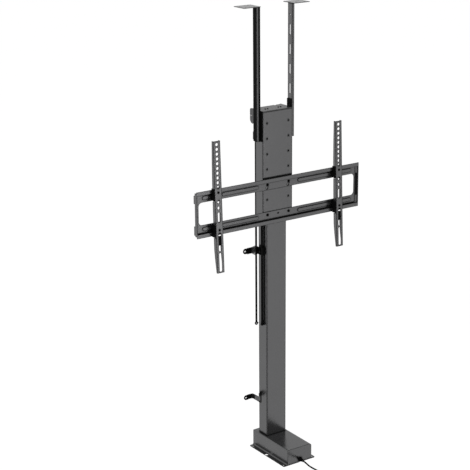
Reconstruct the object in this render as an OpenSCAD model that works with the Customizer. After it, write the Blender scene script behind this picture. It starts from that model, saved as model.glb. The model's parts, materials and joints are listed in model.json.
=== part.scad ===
/* [Base] */
// Width of the base box across its two upright sides
base_w = 117; // [110:1:130]
// Length of the base box, front to back
base_l = 239; // [232:1:250]
// How far the base box reaches behind the column's centre
base_back = 53; // [50:1:56]
// Height of the base box above the floor
base_h = 67; // [64:1:72]
// Width over the two floor flanges
flange_w = 156; // [150:1:170]
// Sheet thickness of the base box
base_t = 2; // [1.5:0.1:2.5]
// Rounding of the base box's right top edge
base_r_right = 9; // [5:0.5:12]
// Rounding of the base box's left top edge
base_r_left = 3; // [2:0.5:8]
// Radius of the small floor screw holes
floor_hole_r = 3.5; // [2.5:0.1:4.5]
// Radius of the large hole half way along each flange
big_hole_r = 6.5; // [5:0.1:7]

/* [Column and mast] */
// Outside width of the fixed column
col_w = 94; // [92:1:96]
// Outside depth of the fixed column
col_d = 56; // [54:1:57]
// Wall of the column
col_t = 2; // [1.5:0.1:2.2]
// Height of the column's open top
col_top = 970; // [940:1:980]
// Outside width of the lifting mast
mast_w = 80; // [76:1:82]
// Outside depth of the lifting mast
mast_d = 42; // [38:1:44]
// Wall of the lifting mast
mast_t = 2; // [1.5:0.1:2.5]
// Height of the mast's foot in the photographed position
mast_foot = 560; // [540:1:600]
// Radius of the lead screw
screw_r = 8; // [7:0.25:9]

/* [Carriage] */
// Width of the carriage cover
car_w = 140; // [136:1:144]
// Height of the carriage cover's lower edge
car_bot = 966; // [960:1:980]
// Height of the carriage cover's upper edge
car_top = 1410; // [1400:1:1418]
// Front surface of the carriage cover, in front of the column's centre
car_front = 36.3; // [36:0.1:38]
// How far each side wall of the cover reaches behind the column's centre
car_side_back = 11; // [8:1:12]
// Sheet thickness of the carriage cover
car_t = 2.5; // [2:0.1:3]
// Height of the uppermost row of threaded holes
hole_top = 1365; // [1360:1:1370]
// Vertical pitch of the rows of threaded holes
hole_pitch = 60; // [58:0.5:60]
// Distance of each column of threaded holes from the middle
hole_x = 50; // [48:0.5:52]

/* [Screen frame] */
// Length of the screen frame
frame_l = 768; // [750:2:790]
// Top edge of the screen frame
frame_top = 1150; // [1148:1:1152]
// Bottom edge of the screen frame
frame_bot = 970; // [968:1:972]
// Front surface of the frame's raised lips
lip_y = 50; // [49:0.5:51]
// Width of the band that closes the frame's window at each end
frame_end = 15; // [13:0.5:28]

/* [Screen arms] */
// Distance of the left arm from the frame's left end
arm_left_in = 85; // [82:1:100]
// Distance of the right arm from the frame's right end
arm_right_in = 113.5; // [108:0.5:122]
// Width of each screen arm
arm_w = 30.5; // [29:0.5:32]
// Length of each screen arm
arm_l = 507; // [500:1:512]
// Depth of each screen arm
arm_d = 17; // [16:0.1:17.1]
// Backward lean of the screen arms
arm_tilt = 2.3; // [2.1:0.1:2.4]
// Radius of the screen holes
vesa_r = 5.8; // [5:0.1:6.2]

/* [Lid supports] */
// Distance of each lid support's web from the middle
lid_x = 74; // [73:0.5:76]
// Depth of each lid support
lid_d = 27; // [25:0.5:30]
// Outward width of the right lid support's front flange
lid_flange = 10; // [8:0.5:12]
// Outward width of the left lid support's front flange
left_flange = 15; // [14:0.5:17]
// Top of the two lid plates
lid_top = 1807; // [1780:1:1850]
// Length of each adjusting slot
lid_slot_l = 39; // [36:1:42]
// Width of each adjusting slot
lid_slot_w = 6.6; // [6.4:0.1:7.5]
// Width of each lid plate
plate_w = 76; // [70:1:80]
// Depth of each lid plate
plate_d = 70; // [66:1:76]

/* [Rods and wall brackets] */
// Radius of the rear rod
rod1_r = 4; // [3.5:0.1:4.2]
// Radius of the front rod
rod2_r = 4; // [3.5:0.1:4.5]
// Height of the rods' lower ends
rod_foot = 539; // [530:1:552]
// Distance of the wall behind the column's centre
wall_y = 58; // [56:1:62]
// Height of the upper wall bracket's middle
upper_z = 850.5; // [840:0.5:852]
// Height of the lower wall bracket's middle
lower_z = 216; // [205:1:230]

/* [Mains cord] */
// Radius of the mains cord
cord_r = 3.15; // [3:0.05:3.4]
// Loops in the coil of spare cord
coil_loops = 6.5; // [5.5:1:7.5]
// Radius of the middle of the coil's turns
coil_r = 35; // [34:0.5:37]

/* [Hidden] */
$fn = 48;
steel = [0.37, 0.37, 0.375];
zinc = [0.72, 0.72, 0.73];
black = [0.06, 0.06, 0.06];
plate_t = 2.5;
fit = 0.05;
gap = 0.3;
base_front = base_l - base_back;
worm_off = 24;
worm_z = 32;
collar_h = 45;
board_y = -base_front + 18;
board_l = base_front - 76;
screw_top = col_top - 100;
lid_foot = car_top - 114;
slots_z = [for (z = [lid_foot + 35:75:lid_top - 100]) z];
bolt_z = [slots_z[1] - 10, slots_z[0] - 10];
hanger_z = lid_foot + 4;
frame_mid = 4;
window_x = frame_l / 2 - frame_end;
arm_left_x = frame_l / 2 - frame_mid - arm_left_in;
arm_right_x = frame_l / 2 + frame_mid - arm_right_in;
side_in = car_w / 2 - car_t;
arm_mid = 1082.5;
arm_y = 70;
bolt_high = 1141;
bolt_low = 996.5;
rod1 = [-65.5, 17];
rod2 = [-53.5, -4.5];
eye_x = -91.5;
screw_x = [-36, -25, 25, 36];
grid = [for (i = [0:6]) hole_top - hole_pitch * i];
bolts = [for (s = [-1, 1], k = [4, 6]) [s * hole_x, grid[k]]];

// The coil is a flat spiral in each layer, inwards and outwards by turns; it climbs a layer
// between them, and its last half turn leaves sideways and comes down to the plug
coil_c = [-30, -440];
layers = 4;
turn_pitch = 2 * cord_r + 0.7;
per = coil_loops / layers;
tail_out = 20;
tail_rad = coil_r + turn_pitch * per / 2 + tail_out;
function ease(f) = let (g = max(0, min(1, f))) g * g * (3 - 2 * g);
function coil_rad(t) = let (l = min(floor(t / per), layers - 1), f = t - l * per,
    a = coil_r + turn_pitch * per / 2)
    (l % 2 == 0 ? a - turn_pitch * f : a - turn_pitch * (per - f))
    + tail_out * ease((t - coil_loops) / 0.32 + 2);
function climb(t) = let (l = round(t / per), f = (t - l * per) / 0.12)
    l < 1 || l >= layers || abs(f) > 1 ? min(floor(t / per), layers - 1)
    : l - 0.5 + 0.5 * sin(90 * f);
function coil_z(t) = 2.1 + 0.3 * ease(1 - 5 * t) + turn_pitch * climb(t)
    + 1.3 * pow(max(0, -sin(360 * t)), 12)
    - (turn_pitch * (layers - 1) - 6.9) * ease((t - coil_loops) / 0.32 + 1);
coil_pts = [for (i = [0:24 * coil_loops]) let (t = i / 24) [coil_c[0] + coil_rad(t) * cos(360 * t),
    coil_c[1] - coil_rad(t) * sin(360 * t), coil_z(t)]];
coil_gap = min([for (i = [0:len(coil_pts) - 1], j = [i + 12:1:len(coil_pts) - 1])
    norm(coil_pts[i] - coil_pts[j])]) - 2 * cord_r;
echo(coil_gap = coil_gap);
cord_path = [[2, -190, 13.4], [2, -209, 13.4], [2, -216, 12.8], [3, -224, 10.7], [4, -235, 7.4],
    [5, -248, 4.7],
    [7, -262, 3.5], [8, -276, 3.4], [9, -292, 3.4], [10, -310, 3.4], [11, -328, 3.4],
    [12, -346, 3.4], [12.5, -364, 3.4], [12.5, -382, 3.4], [12, -400, 3.4], [11.4, -418, 3.4],
    [coil_c[0] + coil_rad(0), coil_c[1], 3.05]];

// A rectangle about the origin with its four corners rounded
module rrect(w, d, r) {
    square([w, d - 2 * r], center = true);
    square([w - 2 * r, d], center = true);
    for (x = [-1, 1], y = [-1, 1]) translate([x * (w / 2 - r), y * (d / 2 - r)]) circle(r);
}

// A rectangular tube with rounded corners between two heights
module tube(w, d, t, r, z0, z1) {
    translate([0, 0, z0]) linear_extrude(z1 - z0) difference() {
        rrect(w, d, r);
        rrect(w - 2 * t, d - 2 * t, max(0.6, r - t * 0.8));
    }
}

// A cylinder along Y that starts at the point p and runs backwards
module ycyl(p, r, h) { translate(p) rotate([-90, 0, 0]) cylinder(r = r, h = h); }

// A cylinder along X that starts at the point p and runs to the right
module xcyl(p, r, h) { translate(p) rotate([0, 90, 0]) cylinder(r = r, h = h); }

// A cylinder along Z that starts at the point p and runs upwards
module zcyl(p, r, h) { translate(p) cylinder(r = r, h = h); }

// A profile drawn in the plane of depth and height, run along X from x0 to x1
module xrun(x0, x1) {
    translate([x0, 0, 0]) rotate([90, 0, 90]) linear_extrude(x1 - x0) children();
}

// A profile drawn in the plane of width and height, run along Y from y0 to y1
module yrun(y0, y1) {
    translate([0, y1, 0]) rotate([90, 0, 0]) linear_extrude(y1 - y0) children();
}

// An upright slot outline with round ends, w wide and l long
module slot2d(w, l) {
    square([w, l - w], center = true);
    for (s = [-1, 1]) translate([0, s * (l - w) / 2]) circle(w / 2);
}

// The outline of the base box with its two different top roundings, inset by i
module box2d(i) {
    w = base_w / 2 - i;
    rl = base_r_left - i * 0.6;
    rr = base_r_right - i;
    translate([-w, 0]) square([2 * w, base_h - i - max(rl, rr)]);
    translate([-w + rl, 0]) square([2 * w - rl - rr, base_h - i]);
    translate([-w, 0]) square([w, base_h - i - rl]);
    translate([-w + rl, base_h - i - rl]) circle(rl);
    translate([w - rr, base_h - i - rr]) circle(rr);
}

module base_plate() color(steel)
    translate([-base_w / 2 + base_t, -base_front + base_t, 0])
        cube([base_w - 2 * base_t, base_l - 2 * base_t, plate_t]);

module base_housing() color(steel) difference() {
    union() {
        yrun(-base_front, base_back) box2d(0);
        for (s = [-1, 1]) yrun(-base_front, base_back) difference() {
            polygon([[s * (base_w / 2 - 1), 0], [s * flange_w / 2, 0], [s * flange_w / 2, base_t],
                [s * (base_w / 2 + 6), base_t], [s * (base_w / 2 + 6), base_t + 6],
                [s * (base_w / 2 - 1), base_t + 6]]);
            translate([s * (base_w / 2 + 6), base_t + 6]) circle(6);
        }
    }
    yrun(-base_front + base_t, base_back - base_t) box2d_low();
    translate([-col_w / 2 - gap, -col_d / 2 - gap, base_h - 5])
        cube([col_w + 2 * gap, col_d + 2 * gap, 10]);
    ycyl([2, -base_front - 1, 13.4], 6, base_t + 2);
    translate([-4, -base_front - 1, -1]) cube([12, base_t + 2, 14.4]);
    for (s = [-1, 1]) {
        for (y = [13 - base_front, base_back - 15]) zcyl([s * 70, y, -1], floor_hole_r, 5);
        zcyl([s * 70.5, -57, -1], big_hole_r, 5);
        translate([s * flange_w / 2, -base_front, -1]) cylinder(r = 4, h = 5, $fn = 4);
        translate([s * flange_w / 2, base_back, -1]) cylinder(r = 4, h = 5, $fn = 4);
    }
}

// The hollow of the base box, open downwards
module box2d_low() {
    box2d(base_t);
    translate([-base_w / 2 + base_t, -1]) square([base_w - 2 * base_t, 20]);
}

module gearbox() color(zinc) difference() {
    translate([-24, -40, plate_t]) cube([62, 62, 57.5]);
    zcyl([0, 0, 8], 6 + fit, 60);
    zcyl([0, 0, 22], 18.5, 60);
    ycyl([worm_off, -50, worm_z], 4 + fit, 67);
    ycyl([worm_off, -17, worm_z], 6.5, 34);
}

module gearbox_lid() color(zinc) difference() {
    union() {
        translate([-24, -22, 60]) cube([62, 44, 6]);
        translate([-20, -20, 66]) cube([40, 40, 24]);
    }
    zcyl([0, 0, 50], 10, 60);
    zcyl([0, 0, 80], 16, 20);
}

module thrust_bearing() color(zinc) difference() {
    zcyl([0, 0, 80], 16, 10.5);
    zcyl([0, 0, 70], screw_r + fit, 30);
}

module motor() color([0.2, 0.2, 0.2]) difference() {
    union() {
        ycyl([worm_off, -130, worm_z], 24, 90);
        ycyl([worm_off, -134, worm_z], 9, 5);
    }
    ycyl([worm_off, -70, worm_z], 4 + fit, 40);
}

module worm_shaft() color(zinc) {
    ycyl([worm_off, -69, worm_z], 4, 85.5);
    ycyl([worm_off, -15, worm_z], 5.6, 30);
}

module worm_wheel() color([0.85, 0.83, 0.75]) difference() {
    zcyl([0, 0, 24], 18, 16);
    zcyl([0, 0, 20], 6, 24);
}

module lead_screw() color(zinc) {
    zcyl([0, 0, 9], 6, 51);
    zcyl([0, 0, 60], screw_r, screw_top - 60);
    zcyl([0, 0, 90.8], 13, 6);
}

module control_board() color([0.12, 0.3, 0.18]) {
    translate([-50, board_y, 12]) cube([40, board_l, 1.6]);
    for (x = [-46, -14], y = [board_y + 4, board_y + board_l - 4])
        zcyl([x, y, plate_t], 3, 12 - plate_t);
}

module board_parts() color([0.15, 0.15, 0.15]) {
    translate([-46, board_y + board_l * 0.16, 13.6]) cube([32, board_l * 0.27, 26]);
    translate([-46, board_y + board_l * 0.53, 13.6]) cube([14, board_l * 0.16, 15]);
    translate([-28, board_y + board_l * 0.53, 13.6]) cube([14, board_l * 0.16, 15]);
    zcyl([-38, board_y + board_l * 0.82, 13.6], 8, 24);
    translate([-26, board_y + board_l * 0.76, 13.6]) cube([12, board_l * 0.11, 9]);
}

// The black bush that holds the mains cord where it leaves the box
module cable_gland() color(black) difference() {
    union() {
        ycyl([2, -base_front - 3, 13.4], 9.5, 3);
        ycyl([2, -base_front - 3, 13.4], 5.9, 9);
        translate([2, -base_front - 3, 13.4]) rotate([90, 0, 0])
            cylinder(r1 = 8, r2 = 4.2, h = 20);
    }
    ycyl([2, -base_front - 30, 13.4], cord_r + fit, 60);
}

module outer_column() color(steel) difference() {
    tube(col_w, col_d, col_t, 3, plate_t, col_top);
    translate([-25 - gap, -col_d / 2 - 5, -1]) cube([64 + 2 * gap, 10, 61 + gap]);
    for (z = [lower_z - 13, lower_z + 13]) xcyl([-col_w / 2 - 3, 19.5, z], 2, 8);
    for (z = [-10, 10]) xcyl([-col_w / 2 - 3, 3, upper_z + z], 2, 8);
}

// The plastic guide in the column's mouth, in which the mast slides
module column_collar() color(black) {
    translate([0, 0, col_top - collar_h]) linear_extrude(collar_h + 2) difference() {
        rrect(col_w - 2 * col_t, col_d - 2 * col_t, 2.4);
        rrect(mast_w + 2 * gap, mast_d + 2 * gap, 3 + gap);
    }
    translate([0, 0, col_top]) linear_extrude(2) difference() {
        rrect(col_w, col_d, 3);
        rrect(mast_w + 8, mast_d + 8, 2);
    }
}

module inner_mast() color(steel) tube(mast_w, mast_d, mast_t, 3, mast_foot, car_top);

// The block in the mast's upper end that the cap is screwed to
module mast_head() color(steel) difference() {
    translate([0, 0, car_top - 12]) linear_extrude(12)
        rrect(mast_w - 2 * mast_t, mast_d - 2 * mast_t, 1.4);
    for (x = screw_x) zcyl([x, -5, car_top - 15], 1.6, 20);
}

module mast_glide() color(black)
    tube(col_w - 2 * col_t - 2 * gap, col_d - 2 * col_t - 2 * gap,
        (col_w - 2 * col_t - mast_w) / 2 - gap, 3, mast_foot + 2, mast_foot + 32);

module screw_nut() color([0.9, 0.88, 0.8]) difference() {
    translate([-mast_w / 2 + mast_t, -mast_d / 2 + mast_t, mast_foot])
        cube([mast_w - 2 * mast_t, mast_d - 2 * mast_t, 40]);
    zcyl([0, 0, mast_foot - 1], screw_r + fit, 42);
    for (x = [-1, 1], y = [-1, 1])
        translate([x * (mast_w / 2 - mast_t), y * (mast_d / 2 - mast_t), mast_foot - 1])
            cylinder(r = 2, h = 42, $fn = 4);
}

// The U-shaped plate that covers the mast and carries the screen frame
module carriage_cover() color(steel) difference() {
    translate([0, 0, car_bot]) linear_extrude(car_top - car_bot) difference() {
        union() {
            translate([-car_w / 2, -car_front + 3]) square([car_w, car_front - 3 + car_side_back]);
            translate([-car_w / 2 + 3, -car_front]) square([car_w - 6, 10]);
            for (s = [-1, 1]) translate([s * (car_w / 2 - 3), -car_front + 3]) circle(3);
        }
        translate([-side_in, -car_front + car_t]) square([2 * side_in, 100]);
    }
    for (s = [-1, 1], z = grid) ycyl([s * hole_x, -car_front - 1, z], 3.3, car_t + 2);
    for (s = [-1, 1], z = bolt_z) xcyl([s * (car_w / 2 - 1) - 5, -12, z], 3 + fit, 10);
}

module weld_nuts() color(black)
    for (s = [-1, 1], z = grid) difference() {
        ycyl([s * hole_x, -car_front + car_t, z], 5.5, 4.5);
        ycyl([s * hole_x, -car_front + car_t - 1, z], 3, 7);
    }

// The plate that closes the carriage's top, with an ear folded down at each side
module top_cap() color([0.45, 0.45, 0.455]) difference() {
    union() {
        translate([-car_w / 2, -car_front, car_top]) cube([car_w, car_front + 37, 3]);
        for (s = [-1, 1]) xrun(s * (car_w / 2 - 1.25) - 1.25, s * (car_w / 2 - 1.25) + 1.25) ear2d();
    }
    for (x = screw_x) zcyl([x, -5, car_top - 1], 1.8, 6);
    translate([34, 32, car_top - 1]) cube([11, 10, 5]);
}

// The outline of one ear: straight in front, round behind
module ear2d() difference() {
    union() {
        translate([car_side_back + 1, car_top - 55]) square([20, 58]);
        translate([32, car_top - 39]) square([16, 34]);
        translate([32, car_top - 39]) circle(16);
        translate([40, car_top - 5]) circle(8);
        translate([31, car_top - 6]) square([9, 9]);
    }
    translate([33, car_top - 26]) square([20, 1.6]);
}

module cap_screws() color(black)
    for (x = screw_x) {
        zcyl([x, -5, car_top + 3], 3.6, 1.8);
        zcyl([x, -5, car_top - 9.9], 1.55, 14);
    }

// The hollow in front of the frame's inner face, with a trough behind each lip; g grows it by
// the sheet
module dish(g) {
    k = g * 0.8;
    d = 2.5 - g;
    half = frame_l / 2 - d;
    xrun(frame_mid - half, frame_mid + half) polygon([[-80, frame_top - 15],
        [-lip_y + 2.5, frame_top - 15], [-lip_y + 2.5, frame_top - 8 + k],
        [-car_front - d, frame_top - 8 + k], [-car_front - d, frame_bot + 8 - k],
        [-lip_y + 2.5, frame_bot + 8 - k], [-lip_y + 2.5, frame_bot + 15], [-80, frame_bot + 15]]);
}

// One long embossed bead on a rail's face
module bead(x0, x1, z) {
    translate([min(x0, x1), -car_front - 5.5, z - 6.5]) cube([abs(x1 - x0), 4, 13]);
    for (x = [x0, x1]) ycyl([x, -car_front - 5.5, z], 6.5, 4);
}

module tv_frame() color(steel) difference() {
    union() {
        difference() {
            union() {
                translate([frame_mid - frame_l / 2, -lip_y, frame_bot])
                    cube([frame_l, 2.5, frame_top - frame_bot]);
                intersection() {
                    dish(2.5);
                    translate([-500, -lip_y, 0]) cube([1000, lip_y - car_front, 2000]);
                }
            }
            dish(0);
        }
        for (x = [frame_mid - frame_l / 2, frame_mid + frame_l / 2 - 2.5]) {
            xrun(x, x + 2.5) translate([-39.5, frame_bot + 28]) rrect(21, 36, 3);
            xrun(x, x + 2.5) translate([-39.5, frame_top - 31]) rrect(21, 32, 3);
        }
        for (s = [-1, 1], z = [frame_top - 28, frame_bot + 31]) {
            bead(s * 100, s * (frame_l / 2 - 130), z);
            bead(s * 302 + frame_mid, s * (frame_l / 2 - 37.5) + frame_mid, z);
        }
    }
    yrun(-80, 0) translate([frame_mid, (frame_top + frame_bot) / 2 + 0.75])
        rrect(2 * window_x, frame_top - frame_bot - 92.5, 15);
    for (s = [-1, 1], z = [[frame_bot + 12, 32], [frame_top - 45, 28]])
        translate([frame_mid + s * (frame_l / 2 - 5.5) - 3, -car_front - 3, z[0]]) cube([6, 4, z[1]]);
    for (s = [-1, 1]) {
        for (z = [grid[4], grid[6]]) ycyl([s * hole_x, -60, z], 3.3, 40);
        ycyl([s * hole_x - 3, -60, grid[4] - 12], 6.2, 40);
        translate([s * hole_x - 3.3, -60, grid[4] - 12]) cube([6.6, 40, 12]);
        ycyl([s * 2, -60, grid[6]], 2.5, 40);
    }
}

module frame_bolts() color(black)
    for (b = bolts) {
        ycyl([b[0], -car_front - 6, b[1]], 5.4, 3.5);
        ycyl([b[0], -car_front - 6, b[1]], 2.9, 13);
    }

// One screen arm in its own upright position, front face at Y = 0, middle at Z = 0
module arm_body() {
    h = arm_l / 2;
    difference() {
        union() {
            translate([-arm_w / 2, 0, -h]) cube([arm_w, 2, arm_l]);
            for (s = [-1, 1]) xrun(s * (arm_w / 2 - 1) - 1, s * (arm_w / 2 - 1) + 1)
                polygon([[0, -h], [8, -h], [15, -h + 50], [arm_d + 2, -h + 90], [arm_d + 2, -60],
                    [arm_d, 60], [arm_d, 90], [arm_d - 2.5, 165], [arm_d - 7, h], [0, h]]);
        }
        for (z = [[frame_top - 45, frame_top + 5], [frame_bot - 5, frame_bot + 45]])
            translate([-arm_w, 2, z[0] - arm_mid]) cube([2 * arm_w, 30, z[1] - z[0]]);
        for (i = [0:9]) ycyl([0, -5, h - 13.3 - 18 * i], vesa_r, 10);
        for (z = [bolt_high, bolt_low]) ycyl([0, -5, z - arm_mid], 2.2, 10);
        for (z = [1106, 1082]) ycyl([0, -5, z - arm_mid], vesa_r, 10);
        for (z = [[1026, 1065], [914, 986], [834, 907.5]])
            yrun(-5, 5) translate([0, (z[0] + z[1]) / 2 - arm_mid]) slot2d(2 * vesa_r, z[1] - z[0]);
    }
}

// Puts an arm-frame child on the rails at a distance x, leaning back
module on_rails(x) {
    translate([x, -arm_y, arm_mid]) rotate([-arm_tilt, 0, 0]) children();
}

// A black hook block inside an arm; it grips the upper lip (s = 1) or the lower lip (s = -1)
module hook(s) {
    z = s > 0 ? frame_top : frame_bot;
    front = arm_y - 2.4 + (s > 0 ? -3.2 : 4.6);
    xrun(-arm_w / 2, arm_w / 2)
        polygon([[-front, z + s * 4], [-44, z + s * 4], [-44, z - s * 5], [-47.2, z - s * 5],
            [-47.2, z + s * gap], [-lip_y - gap, z + s * gap], [-lip_y - gap, z - s * 15.6],
            [-42.1, z - s * 23.4], [-42.1, z - s * 35], [-55, z - s * 44], [-front, z - s * 44]]);
}

// Both hooks; the lower one holds the lip at its left side only and ends below in a tail
// behind the arm's slot
module arm_hooks() difference() {
    union() {
        hook(1);
        difference() {
            hook(-1);
            translate([-7, -80, frame_bot - 10]) cube([arm_w, 50, 18]);
        }
        translate([-arm_w / 2 + 2.3, -76, frame_bot - 34]) cube([5, 14, 40]);
        translate([-arm_w / 2 + 2.3, -76, frame_bot - 34]) cube([arm_w - 4.6, 14, 34.3]);
    }
    translate([0, -arm_y, arm_mid]) rotate([-arm_tilt, 0, 0]) {
        translate([-20, -10, -300]) cube([40, 12.05, 600]);
        for (z = [bolt_high, bolt_low]) ycyl([0, -5, z - arm_mid], 2.2, 20);
    }
}

module arm_bolts() for (z = [bolt_high, bolt_low]) {
    ycyl([0, -3, z - arm_mid], 4.6, 3);
    ycyl([0, -3, z - arm_mid], 2, 14);
}

module left_arm() color(steel) on_rails(-arm_left_x) arm_body();

module right_arm() color(steel) on_rails(arm_right_x) arm_body();

module left_hooks() color(black) translate([-arm_left_x, 0, 0]) arm_hooks();

module right_hooks() color(black) translate([arm_right_x, 0, 0]) arm_hooks();

module left_arm_bolts() color(black) on_rails(-arm_left_x) arm_bolts();

module right_arm_bolts() color(black) on_rails(arm_right_x) arm_bolts();

// The black block between a lid support and the side of the carriage, drawn on the right
module spacer(front, top) difference() {
    translate([car_w / 2, -front, lid_foot]) cube([lid_x - car_w / 2, front + 1, top - lid_foot]);
    for (z = bolt_z) xcyl([car_w / 2 - 1, -12, z], 3 + fit, 10);
}

module left_spacer() color(black) {
    mirror([1, 0, 0]) spacer(car_front + 1.5, car_top);
    translate([-lid_x, 1, lid_foot]) cube([4, 10.8, 30]);
    difference() {
        translate([-lid_x, 11.3, lid_foot]) cube([14, 12, 30]);
        zcyl([rod1[0], rod1[1], lid_foot - 1], rod1_r, 22);
    }
}

module right_spacer() color(black) difference() {
    spacer(lid_d, bolt_z[0] + 46);
    xrun(60, 90) translate([-12, slots_z[1]]) slot2d(lid_slot_w, lid_slot_l);
}

module lid_bolts() color(black)
    for (s = [-1, 1], z = bolt_z) {
        xcyl([s * (lid_x + 2 + gap + 1.5) - 1.5, -12, z], 6, 3);
        xcyl([s > 0 ? side_in - 4 : -lid_x - 4, -12, z], 3, 10 + lid_x - side_in - 2);
        xcyl([s * (side_in - 2) - 2, -12, z], 5.5, 4);
    }

// One lid support, drawn on the right: a slotted web with a flange along its front
module lid_support(flange) difference() {
    union() {
        translate([lid_x, -lid_d + 1, lid_foot]) cube([2, lid_d, lid_top - 2 - lid_foot]);
        translate([lid_x, -lid_d + 1, lid_foot]) cube([flange, 2, lid_top - 2 - lid_foot]);
    }
    for (z = slots_z) xrun(60, 90) translate([-12, z]) slot2d(lid_slot_w, lid_slot_l);
    xcyl([60, -12, lid_top - 45], 2.6, 30);
}

module lid_plate() difference() {
    translate([lid_x + 1 + plate_w / 2, 0, lid_top - 2]) linear_extrude(2) rrect(plate_w, plate_d, 4);
    for (x = [-19, 19], y = [15 - plate_d / 2, plate_d / 2 - 15])
        zcyl([lid_x + 3 + plate_w / 2 + x, y, lid_top - 4], 2.6, 6);
}

module left_lid_support() color(steel) mirror([1, 0, 0]) lid_support(left_flange);

module left_lid_plate() color(steel) mirror([1, 0, 0]) lid_plate();

module right_lid_support() color(steel) lid_support(lid_flange);

module right_lid_plate() color(steel) lid_plate();

// The black cord duct behind the left lid support's flange, and the black edge strip before it
module left_duct() color(black) {
    x = lid_x + left_flange;
    translate([0, 0, lid_foot]) linear_extrude(lid_top - 2 - lid_foot)
        polygon([[-lid_x - 2, -lid_d + 3], [-x, -lid_d + 3], [-x, -1.5], [-lid_x - 2, -1.5],
            [-lid_x - 2, -3], [-x + 1.5, -3], [-x + 1.5, -lid_d + 4.5],
            [-lid_x - 2, -lid_d + 4.5]]);
    translate([-lid_x - 7.3, -lid_d - 0.2, lid_foot]) cube([7.3, 1.2, lid_top - 2 - lid_foot]);
}

// The black strap that carries the upper ends of the rods
module rod_hanger() color(black) difference() {
    union() {
        translate([-side_in, -4, hanger_z]) cube([2.5, 14, 40]);
        translate([-side_in, -14, hanger_z]) cube([side_in - 48.2, 18, 4]);
    }
    zcyl([rod2[0], rod2[1], hanger_z - 10], rod2_r, 30);
}

// The rear rod ends below in a flat eye
module rear_rod() color(black) difference() {
    union() {
        zcyl([rod1[0], rod1[1], rod_foot + 12], rod1_r, lid_foot + 20 - rod_foot - 12);
        translate([rod1[0], rod1[1] + 1.5, rod_foot + 7.5]) rotate([90, 0, 0])
            linear_extrude(3) rrect(14, 15, 6.9);
        translate([rod1[0] + 5, rod1[1] - 1.5, rod_foot + 6]) cube([4, 3, 3]);
    }
    ycyl([rod1[0], rod1[1] - 5, rod_foot + 7], 2.4, 10);
}

// The front rod ends below in a drop-shaped knob
module front_rod() color(black) {
    zcyl([rod2[0], rod2[1], rod_foot + 8], rod2_r, hanger_z + 5 - rod_foot - 8);
    zcyl([rod2[0], rod2[1], hanger_z + 4], rod2_r + 2, 3);
    translate([rod2[0], rod2[1], rod_foot + 6]) sphere(5.9);
    translate([rod2[0], rod2[1], rod_foot + 8.4]) cylinder(r1 = 5.4, r2 = rod2_r, h = 10);
}

// Strap from the rod guide back to the wall, with an eye for the wall screw
module upper_bracket() color(black) difference() {
    union() {
        xrun(-61, -58) translate([0, upper_z]) polygon([[-2, -13], [18, -16], [31, -25],
            [wall_y, -24], [wall_y, 1], [31, 15], [18, 15], [-2, 13]]);
        translate([-82, wall_y - 3, upper_z - 24]) cube([24, 3, 25]);
        yrun(wall_y - 3, wall_y) translate([eye_x + 4, upper_z - 11]) rrect(26, 22, 10.9);
        translate([-72, 11.7, upper_z - 6]) cube([11, 10.6, 12]);
    }
    ycyl([eye_x, wall_y - 10, upper_z - 11], 3.5, 20);
    zcyl([rod1[0], rod1[1], upper_z - 20], rod1_r + gap, 40);
    xcyl([-62, 10, upper_z + 2], 2.5, 20);
    for (z = [-10, 10]) xcyl([-70, 3, upper_z + z], 2, 40);
}

// The black block on the column's side through which the front rod slides
module rod_guide() color(black) difference() {
    xrun(-58, -col_w / 2) translate([-2, upper_z]) rrect(24, 33, 7);
    zcyl([rod2[0], rod2[1], upper_z - 30], rod2_r + gap, 60);
    for (z = [-10, 10]) xcyl([-70, 3, upper_z + z], 2, 40);
}

// A strap from the column's side back to the wall, with the same eye
module lower_bracket() color(black) difference() {
    x = -col_w / 2;
    union() {
        xrun(x - 3, x) translate([19.5, lower_z + 2]) rrect(11, 44, 5.4);
        intersection() {
            linear_extrude(2 * lower_z) polygon([[x, 17], [x - 3, 17], [x - 3, 26],
                [-60.5, wall_y - 8], [-63, wall_y - 4], [-67, wall_y - 3], [-84, wall_y - 3],
                [-84, wall_y], [-66, wall_y], [-60, wall_y - 2], [-57.5, wall_y - 7], [x, 27]]);
            xrun(-100, 0) translate([0, lower_z]) polygon([[17, -17], [17, 4], [27, 4],
                [wall_y - 8, 11], [wall_y, 11], [wall_y, -9], [wall_y - 8, -9], [27, -17]]);
        }
        yrun(wall_y - 3, wall_y) translate([eye_x + 4, lower_z]) rrect(26, 20, 9.9);
    }
    ycyl([eye_x, wall_y - 10, lower_z], 3.5, 20);
    for (z = [lower_z - 13, lower_z + 13]) xcyl([-60, 19.5, z], 2, 30);
}

module bracket_screws() color(black) {
    for (z = [lower_z - 13, lower_z + 13]) {
        xcyl([-col_w / 2 - 5, 19.5, z], 3.5, 2);
        xcyl([-col_w / 2 - 5, 19.5, z], 1.95, 5 + col_t);
    }
    for (z = [-10, 10]) {
        xcyl([-63, 3, upper_z + z], 3.5, 2);
        xcyl([-63, 3, upper_z + z], 1.95, 63 - col_w / 2 + col_t);
    }
}

// A tube of n-sided rings swept along a list of points
module sweep(pts, r, n) {
    last = len(pts) - 1;
    tan = [for (i = [0:last]) unit(pts[min(i + 1, last)] - pts[max(i - 1, 0)])];
    verts = [for (i = [0:last]) let (s = unit(cross(tan[i], [0, 0, 1])), u = cross(s, tan[i]))
        for (k = [0:n - 1]) pts[i] + r * (cos(360 * k / n) * s + sin(360 * k / n) * u)];
    polyhedron(verts, concat([[for (k = [0:n - 1]) k]], [[for (k = [n - 1:-1:0]) last * n + k]],
        [for (i = [0:last - 1], k = [0:n - 1]) [i * n + k, (i + 1) * n + k,
            (i + 1) * n + (k + 1) % n, i * n + (k + 1) % n]]));
}

function unit(v) = v / norm(v);

module mains_cord() color(black) sweep(cord_path, cord_r, 10);

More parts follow.
